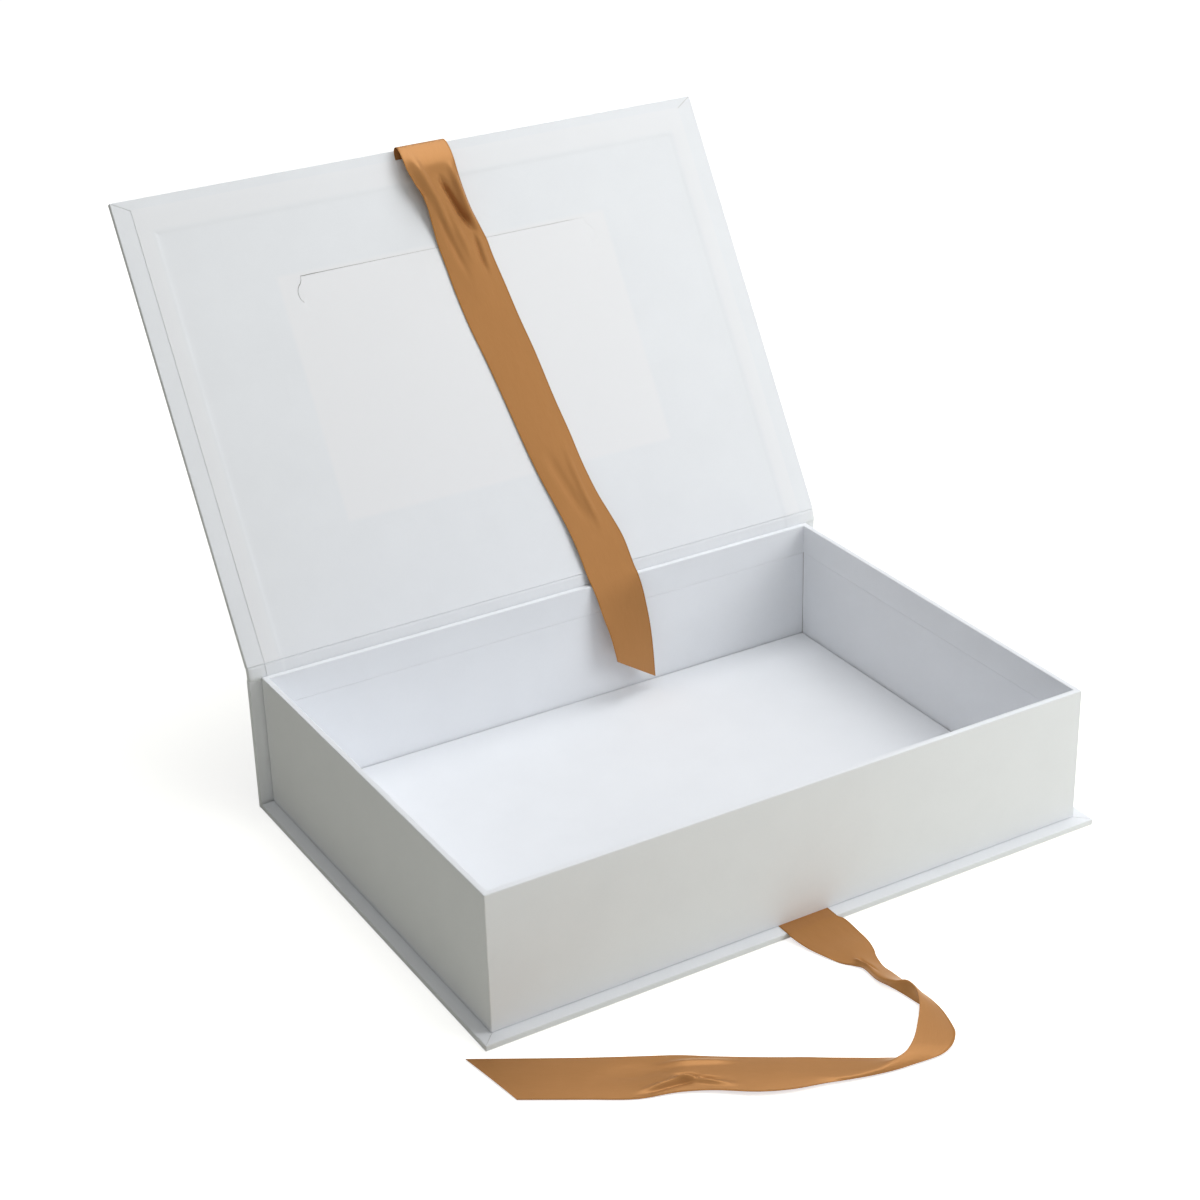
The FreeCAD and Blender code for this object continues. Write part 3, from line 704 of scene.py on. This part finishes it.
def base_ribbon_rows():
    """Rows from the tab under the tray, over the base's edge and along the table.

    The table's rows have stations from 1, and the rows before them end at station 0.
    """
    half = ribbon_width / 2
    tab_level = base_top + ribbon_thickness / 2
    rows_on_base = (
        (tray_front + base_tab, tab_level),
        (tray_front, tab_level),
        (front + base_edge_round, tab_level),
        (front - ribbon_thickness - base_edge_round, tab_level - ribbon_thickness / 4),
    )
    rows = []
    for station, (y, level) in enumerate(rows_on_base, 1 - len(rows_on_base)):
        xs = (base_ribbon_shift + side * half for side in (-1, 0, 1))
        rows.append([*(c for x in xs for c in (x, y, level)), 0, station])
    for station, shares in enumerate(base_ribbon_shares, 1):
        if len(shares) == flat_row_length:
            left, right, arch = base_place(*shares[:3]), base_place(*shares[3:6]), shares[6]
            ridge = (left + right) / 2
        else:
            left, ridge, right = (base_place(*shares[c:c + 3]) for c in (0, 3, 6))
            arch = 0
        rows.append([*left, *ridge, *right, arch, station])
    return rows


def base_ribbon():
    """Ribbon that lies in front of the box."""
    places, flat, _, run = ribbon_places(base_ribbon_rows(), base_ribbon_fold_shares, rise=(0, 0, 1))
    places[..., 2] = np.maximum(places[..., 2], table_clearance)
    obj = ribbon_piece("base_ribbon_band", places, flat)
    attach(obj, "tray")
    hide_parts("base_ribbon")


# Lid lining

liner_grid = 0.004
slit_clear_share = 0.125
merge_distance = 1e-7
touching = 1e-6
step_run = 0.0024
step_line_shares = (-0.5, -0.25, 0, 0.25, 0.5)
tab_edge_run = 0.0016
pocket_sag = 0.00005
flap_dip = 0.00022
# The flap's droop: where it starts from the middle and its run, both along the slit, then its run down
# the flap, as shares of the slit's width, and how much of it the right corner has
droop_start_share = 0.05
droop_run_share = 0.40
droop_down_share = 0.025
right_droop_share = 0.2
# The slit, as shares of its width to the side and below the pocket's top: its straight top, the short
# sides of its corners, and an arc at each end with its middle and radii
slit_top_share = 0.0010
slit_top_points = 25
slit_middle_share = 0.01
slit_corner_share = 0.4828
slit_side_share = (0.4850, 0.0150)
slit_arc_middle_share = (0.480, 0.054)
slit_arc_radius_share = (0.025, 0.033)
slit_arc_degrees = (-57, 67)
slit_arc_points = 13
# Width of the cut at the left end, along the top and at the right end, and where along the slit the top's
# width starts to change and has become the end's
slit_cut_shares = (0.0018, 0.0008, 0.0002)
slit_cut_turn_shares = (0.40, 0.48)


def lines_with_steps(low, high, steps):
    """Grid lines between two ends, closer where the lining steps."""
    count = int(round((high - low) / liner_grid))
    lines = list(np.linspace(low, high, count + 1))
    for place in steps:
        lines = [line for line in lines if abs(line - place) > step_run or line in (low, high)]
        lines += [place + share * step_run for share in step_line_shares]
    return sorted(lines)


def slit_outline():
    """The two edges of the thin cut round the flap, from its left end to its right end."""
    angles = np.radians(np.linspace(*slit_arc_degrees, slit_arc_points))
    arc = np.stack([np.cos(angles), -np.sin(angles)], axis=1)
    arc = arc * slit_arc_radius_share + slit_arc_middle_share
    top = [(x, slit_top_share) for x in np.linspace(slit_corner_share, slit_middle_share, slit_top_points)]
    half = np.array([*arc, slit_side_share, *top])
    outer = np.concatenate([half * (-1, -1), half[::-1] * (1, -1)])
    along = np.gradient(outer, axis=0)
    inward = np.stack([along[:, 1], -along[:, 0]], axis=1)
    inward /= np.linalg.norm(inward, axis=1)[:, None]
    top_end, side_start = slit_cut_turn_shares
    left_cut, top_cut, right_cut = slit_cut_shares
    turns = (-side_start, -top_end, top_end, side_start)
    widths = np.interp(outer[:, 0], turns, (left_cut, top_cut, top_cut, right_cut))
    inner = outer + inward * widths[:, None]
    pocket_edge = np.array((0, pocket_top))
    return outer * slit_width + pocket_edge, inner * slit_width + pocket_edge


def inside_outline(points, outline):
    """True for each point inside a closed outline, by crossings along x."""
    crossed = np.zeros(len(points), bool)
    for (x0, v0), (x1, v1) in zip(outline, np.roll(outline, -1, axis=0)):
        spans = (v0 > points[:, 1]) != (v1 > points[:, 1])
        reach = x0 + (points[:, 1] - v0) / (v1 - v0 if v1 != v0 else 1) * (x1 - x0)
        crossed ^= spans & (points[:, 0] < reach)
    return crossed


def distance_to_line(points, line):
    """Distance of each point from an open line of places."""
    nearest = np.full(len(points), np.inf)
    for a, b in zip(line, line[1:]):
        along = b - a
        share = np.clip((points - a) @ along / (along @ along), 0, 1)
        nearest = np.minimum(nearest, np.linalg.norm(points - a - share[:, None] * along, axis=1))
    return nearest


def lining_rise(points, inner):
    """Height of the lining over its bed: turn-ins, ribbon tab, pocket and the flap's droop."""
    x, v = points.T
    over_side = smoothstep((np.abs(x) - bed_half) / step_run + 0.5)
    over_end = smoothstep((v - bed_end) / step_run + 0.5)
    rise = paper * np.maximum(over_side, over_end)
    tab_half = ribbon_width / 2 + ribbon_side_clear
    tab_start = liner_end - lid_tab - ribbon_side_clear
    tab_across = smoothstep((tab_half - np.abs(x)) / tab_edge_run + 1)
    tab_along = smoothstep((v - tab_start) / tab_edge_run + 1)
    rise = rise + paper * (tab_across * tab_along)
    pocket_middle = pocket_from_hinge + pocket_height / 2
    inside = np.minimum(pocket_width / 2 - np.abs(x), pocket_height / 2 - np.abs(v - pocket_middle))
    rise = rise - pocket_sag * smoothstep(inside / (2 * step_run) + 0.5)
    # the flap droops along its top, most toward its left corner
    corner = smoothstep((np.abs(x) / slit_width - droop_start_share) / droop_run_share)
    corner = corner * np.where(x > 0, right_droop_share, 1)
    from_cut = distance_to_line(points, inner)
    on_flap = inside_outline(points, inner) | (from_cut < touching)
    dip = flap_dip * corner * (1 - smoothstep(from_cut / (droop_down_share * slit_width)))
    return rise - np.where(on_flap, dip, 0)


def lid_liner():
    """Lining sheet with its slit cut out."""
    step_x = [side * place for side in (-1, 1) for place in (bed_half, pocket_width / 2, ribbon_width / 2)]
    xs = lines_with_steps(-liner_half, liner_half, step_x)
    vs = lines_with_steps(0, liner_end, (pocket_from_hinge, pocket_top, liner_end - lid_tab, bed_end))
    outer, inner = slit_outline()
    outline = np.concatenate([outer, inner[::-1]])
    grid = np.array([(x, v) for x in xs for v in vs])
    from_slit = np.minimum(distance_to_line(grid, outer), distance_to_line(grid, inner))
    grid = grid[from_slit > liner_grid * slit_clear_share]
    grid = grid[~inside_outline(grid, outline)]
    edges = [(k, (k + 1) % len(outline)) for k in range(len(outline))]
    corners = [Vector(corner) for corner in np.concatenate([outline, grid])]
    made_corners, _, made_faces, *_ = delaunay_2d_cdt(corners, edges, [], 0, merge_distance)
    flat = np.array([tuple(corner) for corner in made_corners])
    middles = np.array([flat[list(face)].mean(axis=0) for face in made_faces])
    in_cut = inside_outline(middles, outline)
    faces = [tuple(face) for face, cut in zip(made_faces, in_cut) if not cut]
    places = on_lid(flat[:, 0], flat[:, 1], border_depth + lining_rise(flat, inner))
    if face_normals(places, faces).mean(axis=0) @ np.array(lid_out) < 0:
        faces = [face[::-1] for face in faces]
    obj = sheet_piece("lid_liner_sheet", places, faces, flat, "lining_paper", paper, front_share=0)
    finish_with(obj, "lining_paper", "lid_lining")
    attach(obj, "lid")
    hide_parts("lid_liner")


# Crease papers between the spine and the lid

crease_rows = 41
crease_columns = 41
crease_bow = 0.00035
crease_knee = (-0.0005, 0.0018)
crease_groove = 0.0005
groove_place_share = 0.93
groove_width_share = 0.06
# The cover's strip turned in round an end: shares of the rounding in from the end, and of the way from
# its outer to its inner line; past the rounding the flap runs flat
end_round = 0.0006
end_turn_shares = ((1, 0), (0.9, 0.1), (0.75, 0.25), (0, 0.4), (0, 0.6), (0.3, 0.93), (1, 1))
end_flat = 0.0024
flap_columns = 5


def outer_profile():
    """Line from the spine's top to the lid's hinge edge outside, a little bowed."""
    run = np.linspace(0, 1, crease_rows)[:, None]
    profile = np.array((back - paper / 2, spine_top)) * (1 - run) + on_lid(0, 0, paper / 2)[1:] * run
    profile[:, :1] += crease_bow * np.sin(math.pi * run)
    return profile


def inner_profile(spine_y, lid_depth_place):
    """Line inside: over a knee at the tray's rim up to the lid, with a groove pressed in beside the lid."""
    run = (1 - np.cos(np.linspace(0, math.pi, crease_rows))) / 2
    start, end = np.array((spine_y, spine_top)), on_lid(0, 0, lid_depth_place)[1:]
    profile = folded(start, start + crease_knee, end, fold_line(run))
    risen = (profile[:, 1] - start[1]) / (end[1] - start[1])
    profile[:, 0] += crease_groove * np.exp(-((risen - groove_place_share) / groove_width_share) ** 2)
    return profile


def crease_piece(name, node, columns, slot):
    """Paper strip from columns of an x and a profile each."""
    places = np.array([[(x, *profile[r]) for x, profile in columns] for r in range(crease_rows)])
    steps = np.linalg.norm(np.diff(places[0], axis=0), axis=1)
    aside = np.concatenate([[0], np.cumsum(steps)])
    up = np.linalg.norm(places[:, 0] - places[0, 0], axis=1)
    flat = np.stack(np.broadcast_arrays(aside[None], up[:, None]), axis=-1)
    faces = grid_faces(crease_rows, len(columns))
    obj = sheet_piece(name, places, faces, flat, slot, paper, front_share=0.5)
    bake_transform(obj)
    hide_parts(node)


def creases():
    """Outer and inner paper of the hinge."""
    outer = outer_profile()
    inner = inner_profile(spine_inner + paper / 2, turn_in_depth + paper / 2)
    lapped = inner_profile(spine_inner - paper / 2, border_depth + paper / 2)
    end = case_half - paper / 2
    right_end = [(end - end_round * share, outer + (inner - outer) * way) for share, way in end_turn_shares]
    right_end += [(x, inner) for x in np.linspace(end - end_flat, bed_half, flap_columns)]
    left_end = [(-x, profile) for x, profile in right_end[::-1]]
    middle = [(x, outer) for x in np.linspace(end_round - end, end - end_round, crease_columns)[1:-1]]
    crease_piece("hinge_cover_crease", "hinge_cover", left_end + middle + right_end, "cover_paper")
    columns = []
    for x in lines_with_steps(-liner_half, liner_half, (-bed_half, bed_half)):
        over_side = smoothstep((abs(x) - bed_half) / step_run + 0.5)
        columns.append((x, inner + (lapped - inner) * over_side))
    crease_piece("hinge_liner_crease", "hinge_liner", columns, "lining_paper")


# Stage, light and camera

floor_half = 12.0
floor_drop = 0.0002
floor_colour = (0.88, 0.872, 0.77)
floor_glow_colour = (0.966, 0.966, 1.0)
# Glow that the camera sees near the box, where its shadow lies, and far from it
floor_glows = (0.68, 0.85)
floor_glow_reach = (0.3, 1.0)


def seen_directly(tree):
    """1 for rays from the camera, from gloss and through glass, 0 for light falling on the object."""
    path = tree.nodes.new("ShaderNodeLightPath")
    either = combine(tree, "MAXIMUM", path.outputs["Is Camera Ray"], path.outputs["Is Glossy Ray"])
    return combine(tree, "MAXIMUM", either, path.outputs["Is Transmission Ray"])


def stage_floor():
    """Pale floor that keeps the box's shadow and looks white further off."""
    corners = ((-1, -1), (1, -1), (1, 1), (-1, 1))
    places = [(x * floor_half, y * floor_half, -floor_drop) for x, y in corners]
    mesh = bpy.data.meshes.new("floor")
    mesh.from_pydata(places, [], [(0, 1, 2, 3)])
    floor = bpy.data.objects.new("floor", mesh)
    bpy.context.scene.collection.objects.link(floor)
    material, tree, shader, place = new_material("floor")
    shader.inputs["Base Color"].default_value = (*floor_colour, 1)
    shader.inputs["Roughness"].default_value = 0.9
    shader.inputs["Specular IOR Level"].default_value = 0.0
    glow = tree.nodes.new("ShaderNodeEmission")
    glow.inputs["Color"].default_value = (*floor_glow_colour, 1)
    away = tree.nodes.new("ShaderNodeVectorMath")
    away.operation = "LENGTH"
    tree.links.new(place, away.inputs[0])
    level = spread(tree, away.outputs["Value"], *floor_glows, *floor_glow_reach)
    tree.links.new(combine(tree, "MULTIPLY", seen_directly(tree), level), glow.inputs["Strength"])
    both = tree.nodes.new("ShaderNodeAddShader")
    tree.links.new(shader.outputs["BSDF"], both.inputs[0])
    tree.links.new(glow.outputs["Emission"], both.inputs[1])
    tree.links.new(both.outputs["Shader"], tree.nodes["Material Output"].inputs["Surface"])
    mesh.materials.append(material)


# Light from all round: a little warmer from the front left, cooler from the back right
ambient_stops = ((0.0, (0.172, 0.170, 0.150)), (1.0, (0.160, 0.161, 0.170)))
ambient_turn = (0.25, 0.43)
ambient_middle = 0.5


def studio_world():
    """Soft light from all round, behind a white background."""
    world = bpy.data.worlds.new("studio")
    bpy.context.scene.world = world
    world.use_nodes = True
    tree = world.node_tree
    ambient = tree.nodes["Background"]
    white = tree.nodes.new("ShaderNodeBackground")
    white.inputs["Color"].default_value = (1, 1, 1, 1)
    white.inputs["Strength"].default_value = 1.0
    direction = tree.nodes.new("ShaderNodeTexCoord").outputs["Generated"]
    split = tree.nodes.new("ShaderNodeSeparateXYZ")
    tree.links.new(direction, split.inputs["Vector"])
    across = combine(tree, "MULTIPLY", split.outputs["X"], ambient_turn[0])
    behind = combine(tree, "MULTIPLY", split.outputs["Y"], ambient_turn[1])
    side = combine(tree, "ADD", combine(tree, "ADD", across, behind), ambient_middle)
    tree.links.new(ramp(tree, side, ambient_stops), ambient.inputs["Color"])
    ambient.inputs["Strength"].default_value = 1.0
    mix = tree.nodes.new("ShaderNodeMixShader")
    tree.links.new(seen_directly(tree), mix.inputs["Fac"])
    tree.links.new(ambient.outputs["Background"], mix.inputs[1])
    tree.links.new(white.outputs["Background"], mix.inputs[2])
    tree.links.new(mix.outputs["Shader"], tree.nodes["World Output"].inputs["Surface"])


# Lamps: name, place, size, power and whether gloss shows them
lamps = (
    ("side", (0.62, -0.60, 0.50), 0.6, 4.1, False),
    ("top", (0.46, 0.20, 1.48), 1.0, 11.5, True),
    ("fill", (-0.20, -0.30, 0.85), 0.6, 1.1, False),
)
lamp_target = (0.08, 0, 0.08)
lamp_colour = (0.975, 0.99, 1.0)


def soft_lamp(name, place, size, power, shines):
    """Square lamp turned to the box."""
    data = bpy.data.lights.new(name, "AREA")
    data.shape = "SQUARE"
    data.size = size
    data.energy = power
    data.color = lamp_colour
    lamp = bpy.data.objects.new(name, data)
    bpy.context.scene.collection.objects.link(lamp)
    lamp.visible_camera = False
    lamp.visible_glossy = shines
    lamp.location = place
    lamp.rotation_mode = "QUATERNION"
    lamp.rotation_quaternion = (Vector(lamp_target) - Vector(place)).to_track_quat("-Z", "Y")


# Camera, fitted to the photograph: place, then heading to the right of +Y, dip and roll in degrees
camera_place = (-0.5221, -0.8446, 0.6111)
camera_heading = 30.02
camera_dip = 26.59
camera_roll = -1.63
frame_pixels = 1200
focal_pixels = 2465.2
middle_offset_pixels = 1.1


def studio_camera():
    """Camera at the photograph's viewing angle."""
    data = bpy.data.cameras.new("camera")
    data.lens = data.sensor_width * focal_pixels / frame_pixels
    data.shift_x = -middle_offset_pixels / frame_pixels
    camera = bpy.data.objects.new("camera", data)
    bpy.context.scene.collection.objects.link(camera)
    turn = Matrix.Rotation(math.radians(-camera_heading), 4, "Z")
    dip = Matrix.Rotation(math.radians(90 - camera_dip), 4, "X")
    roll = Matrix.Rotation(math.radians(camera_roll), 4, "Z")
    camera.matrix_world = Matrix.Translation(camera_place) @ turn @ dip @ roll
    bpy.context.scene.camera = camera


dress_nodes()
stage_floor()
studio_world()
for lamp in lamps:
    soft_lamp(*lamp)
studio_camera()
lid_liner()
creases()
lid_ribbon()
base_ribbon()
bpy.context.scene.view_settings.view_transform = "Standard"
